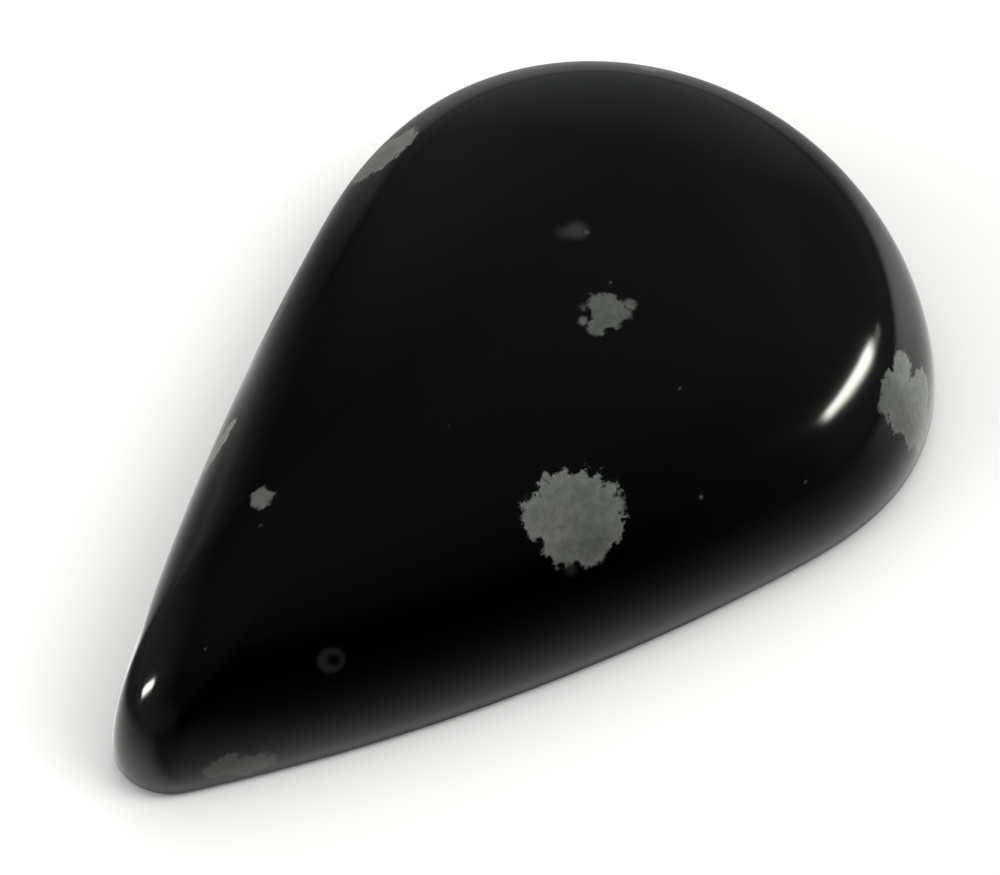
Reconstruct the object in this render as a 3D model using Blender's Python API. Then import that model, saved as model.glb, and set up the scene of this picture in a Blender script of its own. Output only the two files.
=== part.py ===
"""Snowflake obsidian cabochon: one polished pear-shaped stone with a domed face and a flat ground back.

Metres, +Z up. The stone lies on its back, with the pear's long way along X and its tip towards -X.
"""

import math

import bmesh
import bpy
from mathutils import Vector

# Outline of the stone seen from above: a round end, a small round tip, and a long arc down each flank.
# The left flank is nearly straight and the right one a little fuller, as the stone was ground by hand.
ROUND_RADIUS = 0.01255
ROUND_END_REACH = 0.0105
TIP_RADIUS = 0.0020
TIP_DISTANCE = 0.02545
LEFT_FLANK_RADIUS = 0.145
RIGHT_FLANK_RADIUS = 0.077

# Heights: the widest line just above the back, and the summit of the dome
GIRDLE_HEIGHT = 0.0007
STONE_HEIGHT = 0.0088

# The edge of the back is rounded in under the girdle
BACK_EDGE_INSET = 0.0005

# Section of the dome: the first number flattens the crown, the second makes the wall stand steeper
CROWN_FLATNESS = 3.0
WALL_STEEPNESS = 1.7

# Level lines of the dome: they close on a summit beside the round end's centre, the tip draws back
# slowly at the foot and faster above, and it grows blunter as the line shrinks
SUMMIT_SHIFT = 0.0020
TIP_DRAW_AT_FOOT = 0.5
TIP_BLUNTING = 1.5

# Divisions of the outline and of the section
ROUND_DIVISIONS = 26
FLANK_DIVISIONS = 20
TIP_DIVISIONS = 9
EDGE_LEVELS = 4
DOME_LEVELS = 34
SUMMIT_GAP = 0.35

# Finish of the polished glass
GLASS_COLOR = (0.010, 0.011, 0.010, 1.0)
GLASS_ROUGHNESS = 0.06


def flank_centre(round_radius, tip_distance, tip_radius, flank_radius):
    """Centre of the arc that runs from the round end to the tip on the side y > 0 and touches both."""
    from_round = flank_radius - round_radius
    from_tip = flank_radius - tip_radius
    along = (from_round ** 2 - from_tip ** 2 + tip_distance ** 2) / (2.0 * tip_distance)
    return Vector((-along, -math.sqrt(from_round ** 2 - along ** 2)))


def arc(centre, radius, start, end, divisions):
    """Points of an arc from one angle to another, both ends included."""
    points = []
    for step in range(divisions + 1):
        angle = start + (end - start) * step / divisions
        points.append(centre + radius * Vector((math.cos(angle), math.sin(angle))))
    return points


def half_outline(round_radius, tip_distance, tip_radius, flank_radius):
    """The side y >= 0 of a pear, from the far point of its round end to the point of its tip."""
    hub = flank_centre(round_radius, tip_distance, tip_radius, flank_radius)
    start = math.atan2(-hub.y, -hub.x)
    end = math.atan2(-hub.y, -tip_distance - hub.x)
    round_end = arc(Vector((0.0, 0.0)), round_radius, 0.0, start, ROUND_DIVISIONS)
    flank = arc(hub, flank_radius, start, end, FLANK_DIVISIONS)
    tip = arc(Vector((-tip_distance, 0.0)), tip_radius, end, math.pi, TIP_DIVISIONS)
    points = round_end + flank[1:] + tip[1:]
    for point in points:
        if point.x > 0.0:
            point.x *= ROUND_END_REACH / ROUND_RADIUS
    return points


def level_line(shrink):
    """One level line of the stone: the full outline at 0, drawn in to the summit at 1."""
    left = 1.0 - shrink
    middle = SUMMIT_SHIFT * shrink
    to_summit = TIP_DISTANCE + TIP_RADIUS + SUMMIT_SHIFT
    drawn = to_summit * (TIP_DRAW_AT_FOOT * shrink + (1.0 - TIP_DRAW_AT_FOOT) * shrink ** 2)
    round_radius = ROUND_RADIUS * left
    tip_radius = TIP_RADIUS * left * (1.0 + TIP_BLUNTING * shrink)
    tip_distance = TIP_DISTANCE + TIP_RADIUS + middle - drawn - tip_radius
    left_side = half_outline(round_radius, tip_distance, tip_radius, LEFT_FLANK_RADIUS * left)
    right_side = half_outline(round_radius, tip_distance, tip_radius, RIGHT_FLANK_RADIUS * left)
    points = left_side + [Vector((point.x, -point.y)) for point in reversed(right_side[1:-1])]
    return [Vector((point.x + middle, point.y)) for point in points]


def levels():
    """Height and shrink of each level line, from the back up to just below the summit."""
    result = []
    inset = BACK_EDGE_INSET / ROUND_RADIUS
    for step in range(EDGE_LEVELS):
        turn = 0.5 * math.pi * step / EDGE_LEVELS
        result.append((GIRDLE_HEIGHT * (1.0 - math.cos(turn)), inset * (1.0 - math.sin(turn))))
    dome_height = STONE_HEIGHT - GIRDLE_HEIGHT
    for step in range(DOME_LEVELS):
        turn = 0.5 * math.pi * step / (DOME_LEVELS - 1 + SUMMIT_GAP)
        height = GIRDLE_HEIGHT + dome_height * math.sin(turn) ** (2.0 / WALL_STEEPNESS)
        shrink = 1.0 - math.cos(turn) ** (2.0 / CROWN_FLATNESS)
        result.append((height, shrink))
    return result


def glass_material():
    """Black volcanic glass, ground and polished."""
    material = bpy.data.materials.new("obsidian_glass")
    material.use_nodes = True
    shader = material.node_tree.nodes["Principled BSDF"]
    shader.inputs["Base Color"].default_value = GLASS_COLOR
    shader.inputs["Roughness"].default_value = GLASS_ROUGHNESS
    shader.inputs["Metallic"].default_value = 0.0
    material.diffuse_color = GLASS_COLOR
    return material


def loop_edges(shape, ring):
    """The edges that join a closed ring of vertices, each to the one before it."""
    return [shape.edges.get((ring[index - 1], ring[index])) for index in range(len(ring))]


def stone_mesh():
    """The back is filled flat, the wall and dome are drawn up from its rim, and the crown closes them."""
    shape = bmesh.new()
    steps = levels()
    ring = [shape.verts.new((point.x, point.y, steps[0][0])) for point in level_line(steps[0][1])]
    shape.faces.new(ring)
    for height, shrink in steps[1:]:
        drawn = bmesh.ops.extrude_edge_only(shape, edges=loop_edges(shape, ring))["geom"]
        new_verts = {item for item in drawn if isinstance(item, bmesh.types.BMVert)}
        ring = [next(edge.other_vert(vert) for edge in vert.link_edges if edge.other_vert(vert) in new_verts)
                for vert in ring]
        for vert, point in zip(ring, level_line(shrink)):
            vert.co = (point.x, point.y, height)
    crown = shape.faces.new(ring)
    summit = bmesh.ops.poke(shape, faces=[crown])["verts"][0]
    summit.co = (SUMMIT_SHIFT, 0.0, STONE_HEIGHT)
    back_to_centre = 0.5 * (TIP_DISTANCE + TIP_RADIUS - ROUND_END_REACH)
    bmesh.ops.translate(shape, verts=shape.verts, vec=(back_to_centre, 0.0, 0.0))
    bmesh.ops.recalc_face_normals(shape, faces=shape.faces)
    mesh = bpy.data.meshes.new("cabochon")
    shape.to_mesh(mesh)
    shape.free()
    mesh.shade_smooth()
    return mesh


def main():
    for old in list(bpy.data.objects):
        bpy.data.objects.remove(old, do_unlink=True)
    collection = bpy.data.collections.new("snowflake_obsidian_cabochon")
    bpy.context.scene.collection.children.link(collection)
    stone = bpy.data.objects.new("cabochon", stone_mesh())
    stone.data.materials.append(glass_material())
    collection.objects.link(stone)


main()
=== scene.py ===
"""Snowflake obsidian cabochon on a pale table: the polished stone, the table, the lights and the camera."""

import math

import bmesh
import bpy
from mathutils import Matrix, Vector


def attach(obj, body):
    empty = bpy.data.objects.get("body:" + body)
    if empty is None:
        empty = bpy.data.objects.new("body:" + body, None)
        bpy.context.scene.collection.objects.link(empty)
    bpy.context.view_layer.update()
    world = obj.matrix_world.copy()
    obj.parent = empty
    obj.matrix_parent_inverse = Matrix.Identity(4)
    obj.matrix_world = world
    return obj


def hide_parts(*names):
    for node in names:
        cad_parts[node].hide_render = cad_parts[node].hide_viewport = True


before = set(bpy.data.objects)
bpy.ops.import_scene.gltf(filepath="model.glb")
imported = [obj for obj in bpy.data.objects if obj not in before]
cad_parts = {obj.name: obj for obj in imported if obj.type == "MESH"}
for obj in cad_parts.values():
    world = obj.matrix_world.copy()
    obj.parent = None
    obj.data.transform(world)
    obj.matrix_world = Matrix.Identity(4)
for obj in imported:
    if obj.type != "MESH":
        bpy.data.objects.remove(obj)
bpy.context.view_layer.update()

MM = 0.001


# The stone: one piece of black volcanic glass with grey snowflakes in it, cut as a pear with a flat back.
# It is drawn up from its back as the wheel leaves it: a ring is extruded level by level over the rounded
# edge, the steep wall and the dome to the summit, then smoothed to one unbroken polished skin.
ROUND_RADIUS = 12.55 * MM
ROUND_END_REACH = 10.5 * MM
TIP_RADIUS = 2.0 * MM
TIP_DISTANCE = 25.45 * MM
LEFT_FLANK_RADIUS = 145.0 * MM
RIGHT_FLANK_RADIUS = 77.0 * MM
GIRDLE_HEIGHT = 0.7 * MM
STONE_HEIGHT = 8.8 * MM
BACK_EDGE_INSET = 0.5 * MM
CROWN_FLATNESS = 3.0
WALL_STEEPNESS = 1.7
SUMMIT_SHIFT = 2.0 * MM
TIP_DRAW_AT_FOOT = 0.5
TIP_BLUNTING = 1.5
STONE_CENTRE = 0.5 * (TIP_DISTANCE + TIP_RADIUS - ROUND_END_REACH)

ROUND_COLUMNS = 17
FLANK_COLUMNS = 14
TIP_COLUMNS = 6
BACK_RINGS = (0.88, 0.60, 0.30, 0.10)
EDGE_RINGS = 4
WALL_RINGS = 24
WALL_TOP_TURN = math.radians(84.0)
WALL_CROWDING = 0.9
CROWN_RINGS = (0.22, 0.15, 0.09, 0.04)
SMOOTHING_STEPS = 2


def flank_centre(round_radius, tip_distance, tip_radius, flank_radius):
    """Centre of the arc that touches the round end and the tip on the side y > 0."""
    from_round = flank_radius - round_radius
    from_tip = flank_radius - tip_radius
    along = (from_round ** 2 - from_tip ** 2 + tip_distance ** 2) / (2.0 * tip_distance)
    return Vector((-along, -math.sqrt(from_round ** 2 - along ** 2)))


def arc(centre, radius, start, end, steps):
    """Points of an arc from one angle to another, both ends included."""
    angles = [start + (end - start) * step / steps for step in range(steps + 1)]
    return [centre + radius * Vector((math.cos(angle), math.sin(angle))) for angle in angles]


def half_pear(round_radius, tip_distance, tip_radius, flank_radius):
    """The side y >= 0 of a pear, from the far point of its round end to the point of its tip."""
    hub = flank_centre(round_radius, tip_distance, tip_radius, flank_radius)
    start = math.atan2(-hub.y, -hub.x)
    end = math.atan2(-hub.y, -tip_distance - hub.x)
    round_end = arc(Vector((0.0, 0.0)), round_radius, 0.0, start, ROUND_COLUMNS)
    flank = arc(hub, flank_radius, start, end, FLANK_COLUMNS)
    tip = arc(Vector((-tip_distance, 0.0)), tip_radius, end, math.pi, TIP_COLUMNS)
    points = round_end + flank[1:] + tip[1:]
    for point in points:
        if point.x > 0.0:
            point.x *= ROUND_END_REACH / ROUND_RADIUS
    return points


def level_ring(left, height):
    """One level line of the stone at its height: the full outline at left = 1, the summit at 0."""
    shrink = 1.0 - left
    middle = SUMMIT_SHIFT * shrink
    to_summit = TIP_DISTANCE + TIP_RADIUS + SUMMIT_SHIFT
    drawn = to_summit * (TIP_DRAW_AT_FOOT * shrink + (1.0 - TIP_DRAW_AT_FOOT) * shrink ** 2)
    tip_radius = TIP_RADIUS * left * (1.0 + TIP_BLUNTING * shrink)
    tip_distance = TIP_DISTANCE + TIP_RADIUS + middle - drawn - tip_radius
    sizes = (ROUND_RADIUS * left, tip_distance, tip_radius)
    left_side = half_pear(*sizes, LEFT_FLANK_RADIUS * left)
    right_side = half_pear(*sizes, RIGHT_FLANK_RADIUS * left)
    points = left_side + [Vector((point.x, -point.y)) for point in reversed(right_side[1:-1])]
    return [Vector((point.x + middle + STONE_CENTRE, point.y, height)) for point in points]


def place_ring(piece, points):
    """Sets the selected ring of the piece, which is in edit mode, on the given points, column by column."""
    mesh = bmesh.from_edit_mesh(piece.data)
    column = mesh.verts.layers.int["column"]
    for vert in mesh.verts:
        if vert.select:
            vert.co = points[vert[column]]
    bmesh.update_edit_mesh(piece.data)


def start_ring(name, points):
    """A new piece in edit mode: a selected open ring, whose points carry their column number."""
    bpy.ops.object.select_all(action="DESELECT")
    bpy.ops.mesh.primitive_circle_add(vertices=len(points), radius=ROUND_RADIUS, fill_type="NOTHING")
    piece = bpy.context.object
    piece.name = piece.data.name = name
    bpy.ops.object.mode_set(mode="EDIT")
    mesh = bmesh.from_edit_mesh(piece.data)
    column = mesh.verts.layers.int.new("column")
    mesh.verts.ensure_lookup_table()
    for vert in mesh.verts:
        vert[column] = vert.index
    bmesh.update_edit_mesh(piece.data)
    place_ring(piece, points)
    return piece


dome_height = STONE_HEIGHT - GIRDLE_HEIGHT
rings = []
edge_share = BACK_EDGE_INSET / ROUND_RADIUS
for step in range(EDGE_RINGS):
    turn = 0.5 * math.pi * step / EDGE_RINGS
    rings.append((1.0 - edge_share * (1.0 - math.sin(turn)), GIRDLE_HEIGHT * (1.0 - math.cos(turn))))
for step in range(WALL_RINGS):
    turn = WALL_TOP_TURN * (step / WALL_RINGS) ** WALL_CROWDING
    left = math.cos(turn) ** (2.0 / CROWN_FLATNESS)
    risen = math.sin(turn) ** (2.0 / WALL_STEEPNESS)
    rings.append((left, GIRDLE_HEIGHT + dome_height * risen))
for left in CROWN_RINGS:
    risen = (1.0 - left ** CROWN_FLATNESS) ** (1.0 / WALL_STEEPNESS)
    rings.append((left, GIRDLE_HEIGHT + dome_height * risen))

back_edge = 1.0 - edge_share
stone = start_ring("stone", level_ring(back_edge * BACK_RINGS[-1], 0.0))
bpy.ops.mesh.edge_face_add()
bpy.ops.mesh.poke()
bpy.ops.mesh.select_all(action="DESELECT")
mesh = bmesh.from_edit_mesh(stone.data)
for edge in mesh.edges:
    if edge.is_boundary:
        edge.select_set(True)
mesh.select_flush(True)
bmesh.update_edit_mesh(stone.data)
for share in reversed(BACK_RINGS[:-1]):
    bpy.ops.mesh.extrude_region_move()
    place_ring(stone, level_ring(back_edge * share, 0.0))
for left, height in rings:
    bpy.ops.mesh.extrude_region_move()
    place_ring(stone, level_ring(left, height))
bpy.ops.mesh.edge_face_add()
bpy.ops.mesh.poke()
mesh = bmesh.from_edit_mesh(stone.data)
summit = max(mesh.verts, key=lambda vert: len(vert.link_edges) + vert.co.z)
summit.co = (SUMMIT_SHIFT + STONE_CENTRE, 0.0, STONE_HEIGHT)
bmesh.update_edit_mesh(stone.data)
bpy.ops.mesh.select_all(action="SELECT")
bpy.ops.mesh.normals_make_consistent(inside=False)
bpy.ops.object.mode_set(mode="OBJECT")
smoothing = stone.modifiers.new("polish", "SUBSURF")
smoothing.levels = smoothing.render_levels = SMOOTHING_STEPS
bpy.ops.object.modifier_apply(modifier=smoothing.name)
stone.data.attributes.remove(stone.data.attributes["column"])
bpy.ops.object.shade_smooth()


def add_node(tree, kind, *, inputs=None, **settings):
    """A node of the tree with its settings, and each input given as a value or as a link from a socket."""
    node = tree.nodes.new(kind)
    for key, value in settings.items():
        setattr(node, key, value)
    for key, value in (inputs or {}).items():
        if isinstance(value, bpy.types.NodeSocket):
            tree.links.new(value, node.inputs[key])
        else:
            node.inputs[key].default_value = value
    return node


def math_node(tree, operation, *values):
    """The result of a Math node on one to three values or sockets."""
    inputs = {place: value for place, value in enumerate(values)}
    return add_node(tree, "ShaderNodeMath", operation=operation, inputs=inputs).outputs[0]


def ramp_up(tree, value, low, high, bottom=0.0, top=1.0):
    """A value that goes smoothly from bottom at low to top at high."""
    inputs = {"Value": value, "From Min": low, "From Max": high, "To Min": bottom, "To Max": top}
    return add_node(tree, "ShaderNodeMapRange", interpolation_type="SMOOTHSTEP", inputs=inputs).outputs[0]


def noise(tree, place, scale, detail, roughness=0.5):
    """A noise texture at a place in millimetres; the scale is in waves per millimetre."""
    inputs = {"Vector": place, "Scale": scale, "Detail": detail, "Roughness": roughness}
    return add_node(tree, "ShaderNodeTexNoise", inputs=inputs)


def new_group(name, inputs, outputs):
    """A node group with named sockets; inputs and outputs are (name, kind) pairs."""
    tree = bpy.data.node_groups.new(name, "ShaderNodeTree")
    for socket_name, kind in inputs:
        tree.interface.new_socket(socket_name, in_out="INPUT", socket_type="NodeSocket" + kind)
    for socket_name, kind in outputs:
        tree.interface.new_socket(socket_name, in_out="OUTPUT", socket_type="NodeSocket" + kind)
    return tree, tree.nodes.new("NodeGroupInput").outputs, tree.nodes.new("NodeGroupOutput").inputs


# One snowflake is a ball of grey crystal that the cut goes through, so its mark follows from the distance
# to its centre: the gap is the way to the nearest ball, and less than nothing inside one
flake_inputs = (("Place", "Vector"), ("Centre", "Vector"), ("Radius", "Float"), ("Minus growth", "Float"),
                ("Gap so far", "Float"))
snowflake, given, result = new_group("snowflake", flake_inputs, (("Gap", "Float"),))
distance = add_node(snowflake, "ShaderNodeVectorMath", operation="DISTANCE",
                    inputs={0: given["Place"], 1: given["Centre"]}).outputs["Value"]
own_gap = math_node(snowflake, "MULTIPLY_ADD", given["Radius"], given["Minus growth"], distance)
snowflake.links.new(math_node(snowflake, "MINIMUM", own_gap, given["Gap so far"]), result["Gap"])

# Each ball of crystal: its centre on the stone and its radius, in millimetres
LARGE_FLAKE = (
    ((-2.39, -7.25, 6.21), 1.48),
    ((-2.91, -6.65, 6.60), 1.18),
    ((-3.62, -6.45, 6.54), 0.93),
    ((-2.20, -7.86, 5.61), 0.83),
    ((-2.86, -7.80, 5.38), 0.80),
    ((-3.62, -7.41, 5.54), 0.68),
    ((-1.22, -7.81, 6.03), 0.33),
    ((-4.00, -7.12, 5.75), 0.40),
    ((-2.70, -8.20, 4.88), 0.30),
    ((-4.20, -7.42, 5.22), 0.12),
    ((-4.28, -7.50, 5.06), 0.07),
)
SUMMIT_FLAKE = (
    ((3.61, -3.10, 8.65), 0.60),
    ((3.94, -2.59, 8.70), 0.48),
    ((3.11, -3.15, 8.63), 0.43),
    ((4.08, -3.14, 8.66), 0.43),
    ((4.57, -3.39, 8.64), 0.25),
    ((4.19, -3.57, 8.61), 0.29),
    ((2.90, -2.61, 8.67), 0.21),
    ((3.35, -2.23, 8.71), 0.08),
    ((4.92, -2.23, 8.74), 0.04),
    ((4.25, -2.72, 8.69), 0.34),
)
ROUND_END_FLAKE = (
    ((11.60, -10.81, 4.33), 0.72),
    ((10.76, -11.16, 4.21), 0.93),
    ((10.85, -11.51, 3.48), 1.05),
    ((12.47, -11.17, 2.79), 0.85),
    ((11.95, -11.20, 3.35), 0.60),
    ((11.10, -11.86, 2.37), 0.80),
    ((11.87, -11.58, 2.38), 0.80),
    ((9.95, -11.28, 4.30), 0.30),
    ((11.40, -11.92, 1.50), 0.52),
)
FAR_FLANK_FLAKE = (
    ((6.74, 9.87, 5.95), 0.93),
    ((6.26, 10.05, 5.66), 1.03),
    ((5.86, 10.37, 5.20), 0.85),
    ((7.18, 9.85, 6.05), 0.58),
    ((5.53, 10.59, 4.81), 0.50),
    ((6.30, 10.70, 4.80), 1.10),
)
TIP_FLAKES = (
    ((-10.39, 1.17, 7.71), 0.45),
    ((-11.24, 0.40, 7.60), 0.03),
    ((-17.01, -2.34, 1.21), 0.45),
    ((-16.54, -2.63, 1.28), 0.55),
    ((-16.07, -2.93, 1.12), 0.54),
    ((-15.63, -3.21, 1.08), 0.44),
    ((-15.28, -3.42, 1.05), 0.30),
    ((-7.20, 5.75, 5.13), 0.45),
    ((-7.67, 5.68, 4.92), 0.60),
    ((-8.11, 5.63, 4.68), 0.60),
    ((-8.40, 5.65, 4.40), 0.50),
)
SMALL_FLAKES = (
    ((15.09, 4.42, 7.28), 0.45),
    ((15.50, 4.07, 7.08), 0.50),
    ((15.95, 3.60, 6.80), 0.45),
    ((6.14, -0.02, 8.79), 0.06),
    ((3.40, -6.82, 7.66), 0.02),
    ((-3.84, -2.08, 8.40), 0.0),
    ((1.04, -10.09, 3.74), 0.03),
    ((1.59, -9.45, 5.08), 0.02),
    ((5.47, -11.21, 3.88), 0.02),
    ((7.80, -12.48, 1.24), 0.02),
    ((-15.69, -0.86, 5.73), 0.0),
    ((-4.02, 6.02, 6.33), 0.02),
)
# The photograph doesn't show the far flank, the end and the back: flakes of the same kind, as densely strewn
UNSEEN_FLAKES = (
    ((-1.50, 9.30, 3.60), 1.30),
    ((-2.60, 8.90, 3.20), 0.90),
    ((1.60, 11.10, 1.40), 0.55),
    ((12.60, 9.90, 4.30), 0.75),
    ((17.60, 3.10, 3.60), 1.05),
    ((17.70, 2.20, 2.70), 0.70),
    ((17.40, -3.90, 3.20), 0.40),
    ((-13.20, 3.50, 2.40), 0.60),
    ((9.50, -4.20, 0.0), 1.90),
    ((8.10, -5.20, 0.0), 1.20),
    ((11.20, 5.60, 0.0), 0.90),
    ((4.20, 4.90, 0.0), 1.40),
    ((3.20, 5.60, 0.0), 0.80),
    ((0.60, -2.40, 0.0), 0.70),
    ((-4.90, 2.20, 0.0), 1.10),
    ((-6.80, -2.60, 0.0), 0.50),
    ((-11.60, 0.80, 0.0), 0.75),
    ((15.60, -0.60, 0.0), 0.45),
)
ALL_FLAKES = (LARGE_FLAKE + SUMMIT_FLAKE + ROUND_END_FLAKE + FAR_FLANK_FLAKE + TIP_FLAKES + SMALL_FLAKES
              + UNSEEN_FLAKES)
FAR_FROM_FLAKES = 10.0

glass = bpy.data.materials.new("obsidian_glass")
glass.use_nodes = True
tree = glass.node_tree
shader = tree.nodes["Principled BSDF"]
object_place = add_node(tree, "ShaderNodeTexCoord").outputs["Object"]
millimetres = add_node(tree, "ShaderNodeVectorMath", operation="SCALE",
                       inputs={0: object_place, "Scale": 1000.0}).outputs[0]

# The crystal grew out in feathers, so the place is swayed a little and the rims are ragged
SWAY = (0.3, 0.3, 0.3)
LEAST_GROWTH = 0.78
MOST_GROWTH = 1.22
sway = noise(tree, millimetres, 0.9, 2.0).outputs["Color"]
centred = add_node(tree, "ShaderNodeVectorMath", operation="SUBTRACT",
                   inputs={0: sway, 1: (0.5, 0.5, 0.5)}).outputs[0]
swayed = add_node(tree, "ShaderNodeVectorMath", operation="MULTIPLY_ADD",
                  inputs={0: centred, 1: SWAY, 2: millimetres}).outputs[0]
feathers = noise(tree, millimetres, 2.6, 4.0, 0.70).outputs["Fac"]
minus_growth = ramp_up(tree, feathers, 0.2, 0.8, -LEAST_GROWTH, -MOST_GROWTH)
gap = FAR_FROM_FLAKES
for centre, radius in ALL_FLAKES:
    flake_values = {"Place": swayed, "Centre": centre, "Radius": radius, "Minus growth": minus_growth,
                    "Gap so far": gap}
    flake = add_node(tree, "ShaderNodeGroup", node_tree=snowflake, inputs=flake_values)
    gap = flake.outputs["Gap"]


def near(tree, centre, inner, outer, amount):
    """The amount within the inner radius of a centre, in millimetres, fading to nothing at the outer one."""
    distance = add_node(tree, "ShaderNodeVectorMath", operation="DISTANCE",
                        inputs={0: swayed, 1: centre}).outputs["Value"]
    return ramp_up(tree, distance, outer, inner, 0.0, amount)


def add_all(tree, *values):
    """The sum of several values."""
    total = values[0]
    for value in values[1:]:
        total = math_node(tree, "ADD", total, value)
    return total


# Painted sheen and shade on the flakes: paler near the stone's outline, where the grey crystal would catch
# the bright table at a grazing view, and darker where a flake faces down, away from the light; partly it is
# also each flake's own tone. Each line is a centre, the inner and the outer radius in millimetres, and how
# much paler the crystal is painted there
PAINTED_SHEEN_AND_SHADE_PLACES = (
    ((-2.8, -7.2, 6.0), 2.0, 3.5, 0.36),
    ((11.3, -11.3, 3.6), 1.6, 3.0, 0.18),
    ((12.9, -11.0, 3.3), 0.3, 2.6, 1.1),
    ((11.6, -10.7, 4.6), 0.3, 1.4, 0.45),
    ((6.3, 10.4, 5.2), 2.0, 4.0, 0.65),
    ((-7.8, 5.7, 4.8), 1.5, 3.0, 1.45),
    ((-16.2, -2.9, 1.2), 2.0, 4.0, -0.57),
    ((-3.2, -8.3, 4.7), 0.5, 2.2, -0.35),
    ((-2.6, -8.1, 5.3), 0.1, 0.6, -0.25),
    ((3.7, -3.1, 8.6), 1.5, 3.0, -0.14),
)
painted_sheen_and_shade = add_all(tree, 1.0, *(near(tree, *place) for place in PAINTED_SHEEN_AND_SHADE_PLACES))

# Crystal just under the polish shows as a faint veil: as a ring with a clear middle near the tip, as two
# joined clouds past the summit flake, and as one small cloud under the large flake
VEILED_PLACES = (
    ((-12.48, -3.98, 4.60), 0.35, 0.62, 0.13),
    ((-12.40, -4.04, 4.58), 0.06, 0.40, -0.12),
    ((6.00, 0.28, 8.79), 0.0, 0.62, 0.34),
    ((5.58, 0.55, 8.79), 0.0, 0.50, 0.17),
    ((-3.85, -7.80, 4.80), 0.0, 0.38, 0.15),
)
veil = add_all(tree, *(near(tree, *place) for place in VEILED_PLACES))

# The crystal is mottled, in two greys, and a little paler at its rim
RAGGEDNESS = 0.05
FLAKE_RIM = (0.09, -0.12)
GLASS_COLOR = (0.0002, 0.00025, 0.0002, 1.0)
GREEN_GREY = (0.073, 0.081, 0.071, 1.0)
WARM_GREY = (0.080, 0.081, 0.076, 1.0)
ragged_gap = math_node(tree, "ADD", gap, ramp_up(tree, feathers, 0.25, 0.75, RAGGEDNESS, -RAGGEDNESS))
flake_mask = ramp_up(tree, ragged_gap, *FLAKE_RIM)
patches = noise(tree, millimetres, 0.7, 1.0).outputs["Fac"]
tint = ramp_up(tree, patches, 0.38, 0.62)
flake_color = add_node(tree, "ShaderNodeMix", data_type="RGBA",
                       inputs={"Factor": tint, "A": GREEN_GREY, "B": WARM_GREY})
mottle = noise(tree, millimetres, 3.0, 3.0, 0.6).outputs["Fac"]
mottle_light = ramp_up(tree, mottle, 0.3, 0.7, 0.84, 1.14)
rim_light = ramp_up(tree, gap, -0.05, -0.6, 1.12, 0.94)
# The painted sheen and shade from the places above scale the crystal's mottled tone here
tone_and_painted_sheen = math_node(tree, "MULTIPLY", math_node(tree, "MULTIPLY", mottle_light, rim_light), painted_sheen_and_shade)
flake_with_painted_sheen = add_node(tree, "ShaderNodeVectorMath", operation="SCALE",
                     inputs={0: flake_color.outputs[2], "Scale": tone_and_painted_sheen}).outputs[0]
clouded = add_node(tree, "ShaderNodeMix", data_type="RGBA",
                   inputs={"Factor": veil, "A": GLASS_COLOR, "B": WARM_GREY})
body = add_node(tree, "ShaderNodeMix", data_type="RGBA",
                inputs={"Factor": flake_mask, "A": clouded.outputs[2], "B": flake_with_painted_sheen})

# The dome is polished but for a slight haze; the back is only ground, and keeps the marks of the lap
POLISH_ROUGHNESS = (0.088, 0.093)
CRYSTAL_ROUGHNESS = 0.20
GROUND_ROUGHNESS = (0.30, 0.48)
GROUND_DUST = (0.03, 0.10)
GROUND_HEIGHT = (0.06, 0.01)
LAP_TURN = (0.0, 0.0, 0.6)
LAP_STRETCH = (0.15, 6.0, 1.0)
RIPPLE_SHARE = 0.6
RELIEF_DEPTH = 0.006 * MM
REFRACTION = 1.5
haze = ramp_up(tree, noise(tree, millimetres, 0.35, 3.0).outputs["Fac"], 0.3, 0.7, *POLISH_ROUGHNESS)
polished = ramp_up(tree, flake_mask, 0.0, 1.0, haze, CRYSTAL_ROUGHNESS)
height = add_node(tree, "ShaderNodeSeparateXYZ", inputs={0: millimetres}).outputs["Z"]
ground = ramp_up(tree, height, *GROUND_HEIGHT)
lap_place = add_node(tree, "ShaderNodeMapping",
                     inputs={"Vector": millimetres, "Rotation": LAP_TURN, "Scale": LAP_STRETCH}).outputs[0]
lap_marks = noise(tree, lap_place, 1.0, 3.0, 0.6).outputs["Fac"]
satin = ramp_up(tree, lap_marks, 0.25, 0.75, *GROUND_ROUGHNESS)
roughness = add_node(tree, "ShaderNodeMix", inputs={"Factor": ground, "A": polished, "B": satin}).outputs[0]
tree.links.new(roughness, shader.inputs["Roughness"])
dust = math_node(tree, "MULTIPLY", ground, ramp_up(tree, lap_marks, 0.3, 0.7, *GROUND_DUST))
finished = add_node(tree, "ShaderNodeMix", data_type="RGBA",
                    inputs={"Factor": dust, "A": body.outputs[2], "B": WARM_GREY})
tree.links.new(finished.outputs[2], shader.inputs["Base Color"])
ripple = math_node(tree, "MULTIPLY", noise(tree, millimetres, 0.6, 1.0).outputs["Fac"], RIPPLE_SHARE)
relief = add_node(tree, "ShaderNodeMix", inputs={"Factor": ground, "A": ripple, "B": lap_marks}).outputs[0]
bump = add_node(tree, "ShaderNodeBump", inputs={"Strength": 1.0, "Distance": RELIEF_DEPTH, "Height": relief})
tree.links.new(bump.outputs["Normal"], shader.inputs["Normal"])
shader.inputs["IOR"].default_value = REFRACTION
stone.data.materials.clear()
stone.data.materials.append(glass)

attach(stone, "root")
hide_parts("cabochon")
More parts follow.
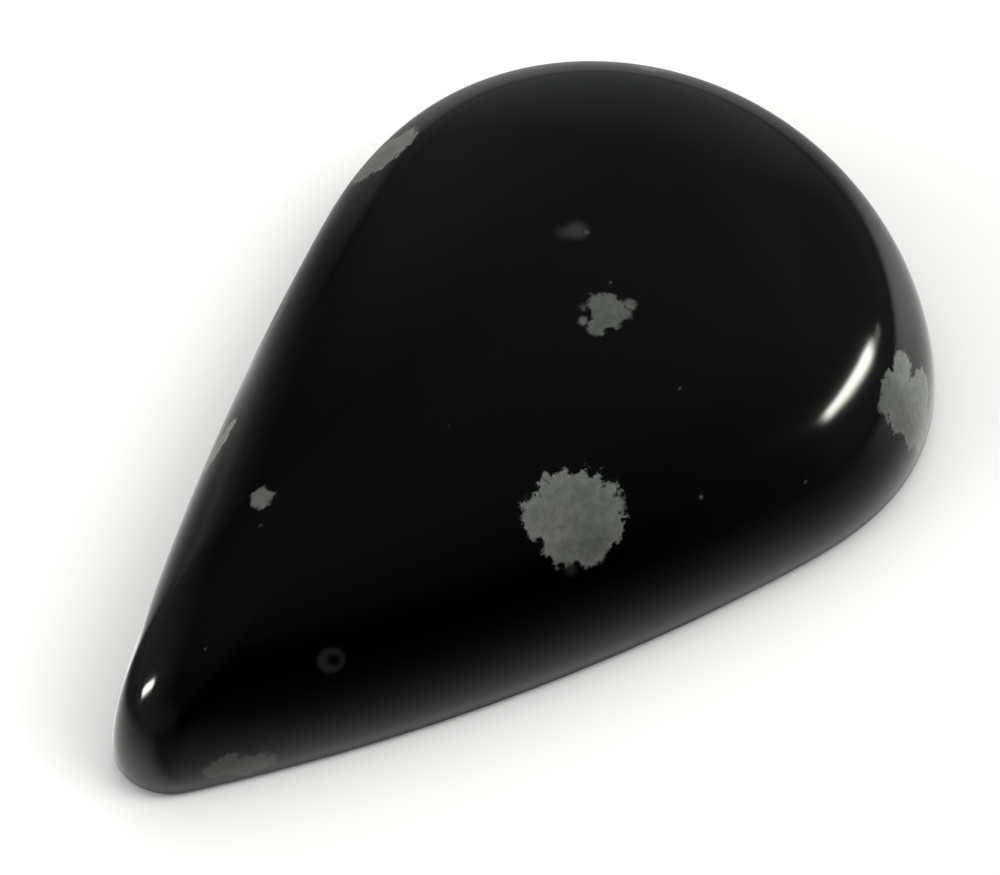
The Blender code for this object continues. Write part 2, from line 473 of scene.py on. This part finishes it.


# The table: a plain pale sheet of paper under the stone. The polish doesn't see it but a second, glowing
# sheet in its place, whose painted light is bright at the stone's foot and dim further out, as in the
# photograph the polish is nearly black.
TABLE_SIZE = 6.0
PAPER_COLOR = (0.86, 0.86, 0.85, 1.0)
PAPER_ROUGHNESS = 0.9
bpy.ops.object.select_all(action="DESELECT")
bpy.ops.mesh.primitive_plane_add(size=TABLE_SIZE)
table = bpy.context.object
table.name = "table"
paper = bpy.data.materials.new("pale_paper")
paper.use_nodes = True
paper_shader = paper.node_tree.nodes["Principled BSDF"]
paper_shader.inputs["Base Color"].default_value = PAPER_COLOR
paper_shader.inputs["Roughness"].default_value = PAPER_ROUGHNESS
paper_shader.inputs["Specular IOR Level"].default_value = 0.0
table.data.materials.append(paper)
table.visible_glossy = False

# Directions are given as the camera sees them; its right hand points this turn away from the stone's length
CAMERA_TURN = math.radians(-49.076)
TO_THE_RIGHT = Vector((math.cos(CAMERA_TURN), math.sin(CAMERA_TURN), 0.0))
STRAIGHT_BEHIND = Vector((-math.sin(CAMERA_TURN), math.cos(CAMERA_TURN), 0.0))


def towards(turn, rise):
    """The direction at a turn to the right from straight behind the stone, and a rise, in degrees."""
    level = STRAIGHT_BEHIND * math.cos(math.radians(turn)) + TO_THE_RIGHT * math.sin(math.radians(turn))
    return level * math.cos(math.radians(rise)) + Vector((0.0, 0.0, math.sin(math.radians(rise))))


def patch(tree, direction, centre, inner, outer, strength):
    """A soft round patch in the surroundings: full within the inner angle, nothing beyond the outer one."""
    nearness = add_node(tree, "ShaderNodeVectorMath", operation="DOT_PRODUCT",
                        inputs={0: direction, 1: centre}).outputs["Value"]
    at_outer = math.cos(math.radians(outer))
    at_inner = math.cos(math.radians(inner))
    return ramp_up(tree, nearness, at_outer, at_inner, 0.0, strength)


ROOM_GREY = 0.037


def room_light(tree, direction):
    """How bright the room is in a direction: dim, darkest low behind the camera, paler behind the stone."""
    black = patch(tree, direction, towards(157.0, -30.0), 44.0, 62.0, -0.036)
    behind = patch(tree, direction, towards(2.0, 14.0), 3.0, 36.0, 0.158)
    left = patch(tree, direction, towards(-90.0, -5.0), 20.0, 60.0, 0.19)
    right = patch(tree, direction, towards(49.0, -11.0), 62.0, 84.0, 0.091)
    above = patch(tree, direction, Vector((0.0, 0.0, 1.0)), 0.0, 66.0, 0.056)
    past_the_tip = patch(tree, direction, towards(-146.0, -3.0), 4.0, 28.0, 0.095)
    return add_all(tree, black, ROOM_GREY, behind, left, right, above, past_the_tip)


def unseen_but_in_the_polish(piece, material_name):
    """Leaves the piece to be seen by reflections alone, and gives it a glowing material to be filled in."""
    piece.visible_camera = False
    piece.visible_diffuse = False
    piece.visible_transmission = False
    piece.visible_volume_scatter = False
    piece.visible_shadow = False
    material = bpy.data.materials.new(material_name)
    material.use_nodes = True
    material.cycles.emission_sampling = "NONE"
    material.node_tree.nodes.clear()
    piece.data.materials.append(material)
    return material.node_tree


def glow(tree, color, strength):
    """Ends a glowing material."""
    emission = add_node(tree, "ShaderNodeEmission", inputs={"Color": color, "Strength": strength})
    add_node(tree, "ShaderNodeOutputMaterial", inputs={"Surface": emission.outputs[0]})


# The sheet in the polish goes outwards from the stone's outline in rings, given in millimetres
MIRROR_RINGS = (-0.4, 0.0, 0.4, 0.8, 1.3, 2.0, 3.0, 4.5, 7.0, 11.0, 17.0, 26.0, 40.0, 70.0,
                120.0, 220.0, 450.0)
outline = level_ring(1.0, 0.0)


def outside(distance):
    """The stone's outline moved outwards by a distance in millimetres."""
    points = []
    for place, point in enumerate(outline):
        along = outline[(place + 1) % len(outline)] - outline[place - 1]
        points.append(point + distance * MM * Vector((along.y, -along.x, 0.0)).normalized())
    return points


mirrored = start_ring("table_in_the_polish", outside(MIRROR_RINGS[0]))
for distance in MIRROR_RINGS[1:]:
    bpy.ops.mesh.extrude_region_move()
    place_ring(mirrored, outside(distance))
bpy.ops.object.mode_set(mode="OBJECT")
away = mirrored.data.attributes.new("away", "FLOAT", "POINT")
for vert in mirrored.data.vertices:
    ring = vert.index // len(outline)
    away.data[vert.index].value = MIRROR_RINGS[ring]
mirrored_tree = unseen_but_in_the_polish(mirrored, "table_in_the_polish")
away_value = add_node(mirrored_tree, "ShaderNodeAttribute", attribute_name="away").outputs["Fac"]
table_place = add_node(mirrored_tree, "ShaderNodeTexCoord").outputs["Object"]
along_stone = add_node(mirrored_tree, "ShaderNodeSeparateXYZ", inputs={0: table_place}).outputs["X"]
table_direction = add_node(mirrored_tree, "ShaderNodeVectorMath", operation="NORMALIZE",
                           inputs={0: table_place}).outputs[0]

# The light at the stone's foot halves over a width, in millimetres, that grows from the tip to the middle;
# it is narrower straight behind the stone, wider past the tip, and on the far side both wider and dimmer
FOOT_LIGHT = 1.35
FOOT_FADING = 1.54
TIP_PLACE = -19.0 * MM
MIDDLE_PLACE = 2.0 * MM
WIDTH_AT_TIP = 0.93
WIDTH_AT_MIDDLE = 1.75
FAR_SIDE_WIDENING = 0.5
FAR_SIDE_DIMMING = -0.62
CONTACT_SHADE = (-0.3, 0.6)
width_along = add_node(mirrored_tree, "ShaderNodeMapRange",
                       inputs={"Value": along_stone, "From Min": TIP_PLACE, "From Max": MIDDLE_PLACE,
                               "To Min": WIDTH_AT_TIP, "To Max": WIDTH_AT_MIDDLE}).outputs[0]
narrower = patch(mirrored_tree, table_direction, towards(-12.0, 0.0), 30.0, 48.0, -0.57)
wider = patch(mirrored_tree, table_direction, towards(-130.0, 0.0), 5.0, 17.0, 4.8)
far_side = patch(mirrored_tree, table_direction, towards(-20.0, 0.0), 90.0, 106.0, 1.0)
behind_share = math_node(mirrored_tree, "ADD", narrower, 1.0)
near_width = math_node(mirrored_tree, "MULTIPLY_ADD", width_along, behind_share, wider)
far_share = math_node(mirrored_tree, "MULTIPLY_ADD", far_side, FAR_SIDE_WIDENING, 1.0)
fading_width = math_node(mirrored_tree, "MULTIPLY", near_width, far_share)
widths_away = math_node(mirrored_tree, "DIVIDE", away_value, fading_width)
fading = math_node(mirrored_tree, "ADD", math_node(mirrored_tree, "POWER", widths_away, FOOT_FADING), 1.0)
brightest = math_node(mirrored_tree, "MULTIPLY_ADD", far_side, FAR_SIDE_DIMMING, FOOT_LIGHT)
contact = ramp_up(mirrored_tree, away_value, *CONTACT_SHADE)
foot_light = math_node(mirrored_tree, "MULTIPLY",
                       math_node(mirrored_tree, "DIVIDE", brightest, fading), contact)
room_share = math_node(mirrored_tree, "MULTIPLY", room_light(mirrored_tree, table_direction),
                       ramp_up(mirrored_tree, away_value, 20.0, 120.0, 0.6, 1.0))


def pool(turn, distance, inner, outer, strength):
    """A pool of lamp light on the mirrored table, sizes in millimetres."""
    from_middle = add_node(mirrored_tree, "ShaderNodeVectorMath", operation="DISTANCE",
                           inputs={0: table_place, 1: towards(turn, 0.0) * distance * MM}).outputs["Value"]
    return ramp_up(mirrored_tree, from_middle, outer * MM, inner * MM, 0.0, strength)


SHEET_COLOR = (1.0, 1.0, 0.98, 1.0)
# A painted shadow: the mirrored table is dimmed at the stone's left foot, fully within 5 mm and gone by 20 mm
painted_shadow_at_left_foot = math_node(mirrored_tree, "MULTIPLY",
                      patch(mirrored_tree, table_direction, towards(-88.0, 0.0), 12.0, 34.0, -0.12),
                      ramp_up(mirrored_tree, away_value, 20.0, 5.0))
sheet_light = add_all(mirrored_tree, foot_light, room_share, painted_shadow_at_left_foot,
                      pool(69.5, 35.5, 3.5, 21.0, 0.64), pool(6.5, 41.0, 12.0, 29.5, 0.176))
glow(mirrored_tree, SHEET_COLOR, sheet_light)


# The studio: a white tent and four soft lamps light the table and the flakes. The polish sees a dim room
# instead, and two strip lamps that stand low on either side of the stone, as in the photograph.
TENT_LIGHT = 0.38
TENT_WHITENESS = 1.0
ROOM_RADIUS = 2.0
ROOM_COLOR = (0.93, 1.0, 0.96, 1.0)
world = bpy.data.worlds.new("tent")
world.use_nodes = True
tent = world.node_tree.nodes["Background"]
tent.inputs["Color"].default_value = (1.0, 1.0, 1.0, 1.0)
seen_itself = add_node(world.node_tree, "ShaderNodeLightPath").outputs["Is Camera Ray"]
seen_whiter = TENT_WHITENESS - TENT_LIGHT
tent_strength = math_node(world.node_tree, "MULTIPLY_ADD", seen_itself, seen_whiter, TENT_LIGHT)
world.node_tree.links.new(tent_strength, tent.inputs["Strength"])
world.cycles_visibility.glossy = False
bpy.context.scene.world = world

bpy.ops.object.select_all(action="DESELECT")
# A glowing sphere that only the polish sees, with the room's light and dark painted on it
bpy.ops.mesh.primitive_uv_sphere_add(segments=64, ring_count=32, radius=ROOM_RADIUS)
room = bpy.context.object
room.name = "room_in_the_polish"
room_tree = unseen_but_in_the_polish(room, "dim_room")
room_place = add_node(room_tree, "ShaderNodeTexCoord").outputs["Object"]
room_direction = add_node(room_tree, "ShaderNodeVectorMath", operation="NORMALIZE",
                          inputs={0: room_place}).outputs[0]
glow(room_tree, ROOM_COLOR, room_light(room_tree, room_direction))


def soft_lamp(name, direction, spread, brightness):
    """A far soft lamp that lights the table and the flakes, and has no image of its own in the polish."""
    data = bpy.data.lights.new(name, "SUN")
    data.energy = brightness
    data.angle = math.radians(spread)
    lamp = bpy.data.objects.new(name, data)
    bpy.context.collection.objects.link(lamp)
    lamp.rotation_euler = direction.to_track_quat("Z", "Y").to_euler()
    lamp.visible_glossy = False


soft_lamp("right_lamp", towards(95.0, 50.0), 30.0, 1.0)
soft_lamp("left_lamp", towards(-105.0, 28.0), 35.0, 0.8)
soft_lamp("far_lamp", towards(10.0, 50.0), 40.0, 0.35)
soft_lamp("overhead_lamp", towards(0.0, 85.0), 100.0, 1.38)


LAMP_DISTANCE = 0.5
LAMP_COLOR = (1.0, 1.0, 0.90, 1.0)
LAMP_FADING = 2.0


def lamp_image(name, stations, strength):
    """A strip lamp that only the polish sees, through stations given as turn, rise and width in degrees."""
    bpy.ops.object.select_all(action="DESELECT")
    bpy.ops.mesh.primitive_grid_add(x_subdivisions=24, y_subdivisions=2, size=2.0)
    card = bpy.context.object
    card.name = name
    card_tree = unseen_but_in_the_polish(card, name)
    for vert in card.data.vertices:
        place = 0.5 * (vert.co.x + 1.0) * (len(stations) - 1)
        first = min(int(place), len(stations) - 2)
        share = place - first
        turn, rise, width = (a + (b - a) * share for a, b in zip(stations[first], stations[first + 1]))
        along = towards(*stations[first + 1][:2]) - towards(*stations[first][:2])
        across = towards(turn, rise).cross(along).normalized() * math.radians(0.5 * width)
        vert.co = LAMP_DISTANCE * (towards(turn, rise) + across * vert.co.y)
    uv = add_node(card_tree, "ShaderNodeTexCoord").outputs["UV"]
    split = add_node(card_tree, "ShaderNodeSeparateXYZ", inputs={0: uv})
    from_middle = math_node(card_tree, "ABSOLUTE", math_node(card_tree, "SUBTRACT", split.outputs["X"], 0.5))
    ends = ramp_up(card_tree, from_middle, 0.5, 0.26)
    sharp_edge = ramp_up(card_tree, split.outputs["Y"], 0.0, 0.25)
    soft_edge = ramp_up(card_tree, split.outputs["Y"], 1.0, 0.45)
    edges = math_node(card_tree, "MULTIPLY", sharp_edge, soft_edge)
    fade = math_node(card_tree, "POWER", math_node(card_tree, "MULTIPLY", ends, edges), LAMP_FADING)
    lamp_strength = math_node(card_tree, "MULTIPLY", fade, strength)
    light = add_node(card_tree, "ShaderNodeEmission", inputs={"Color": LAMP_COLOR, "Strength": lamp_strength})
    clear = add_node(card_tree, "ShaderNodeBsdfTransparent")
    both = add_node(card_tree, "ShaderNodeAddShader", inputs={0: light.outputs[0], 1: clear.outputs[0]})
    add_node(card_tree, "ShaderNodeOutputMaterial", inputs={"Surface": both.outputs[0]})


RIGHT_LAMP = ((72.5, 5.6, 5.0), (77.5, 8.7, 8.0), (84.0, 11.5, 10.0), (93.0, 14.8, 9.5),
              (101.0, 16.7, 8.5), (106.0, 17.4, 7.5), (109.5, 17.7, 6.5), (112.5, 17.7, 5.5))
HEAD_OF_RIGHT_LAMP = ((67.5, 3.2, 4.5), (71.0, 4.9, 5.5), (74.5, 6.6, 5.5), (78.0, 8.2, 4.5))
LEFT_LAMP = ((-107.0, 20.5, 6.0), (-105.0, 16.0, 9.0), (-102.0, 11.0, 10.0), (-98.9, 6.2, 9.0),
             (-97.0, 3.0, 6.0))
lamp_image("right_lamp_image", RIGHT_LAMP, strength=25.0)
lamp_image("head_of_the_right_image", HEAD_OF_RIGHT_LAMP, strength=1.6)
lamp_image("left_lamp_image", LEFT_LAMP, strength=32.0)


# The camera: a long lens that looks down on the stone over its near flank, with the tip at the lower left
# and the round end at the upper right, as in the photograph
CAMERA_RISE = 50.293
CAMERA_DISTANCE = 0.240
CAMERA_AIM = Vector((2.168 * MM, 0.749 * MM, 0.0))
SENSOR_WIDTH = 36.0
LENS = 229.9
camera_data = bpy.data.cameras.new("camera")
camera_data.sensor_width = SENSOR_WIDTH
camera_data.lens = LENS
camera = bpy.data.objects.new("camera", camera_data)
bpy.context.collection.objects.link(camera)
back = towards(180.0, CAMERA_RISE)
camera.location = CAMERA_AIM + CAMERA_DISTANCE * back
camera.rotation_euler = back.to_track_quat("Z", "Y").to_euler()
bpy.context.scene.camera = camera
bpy.context.scene.view_settings.view_transform = "Standard"
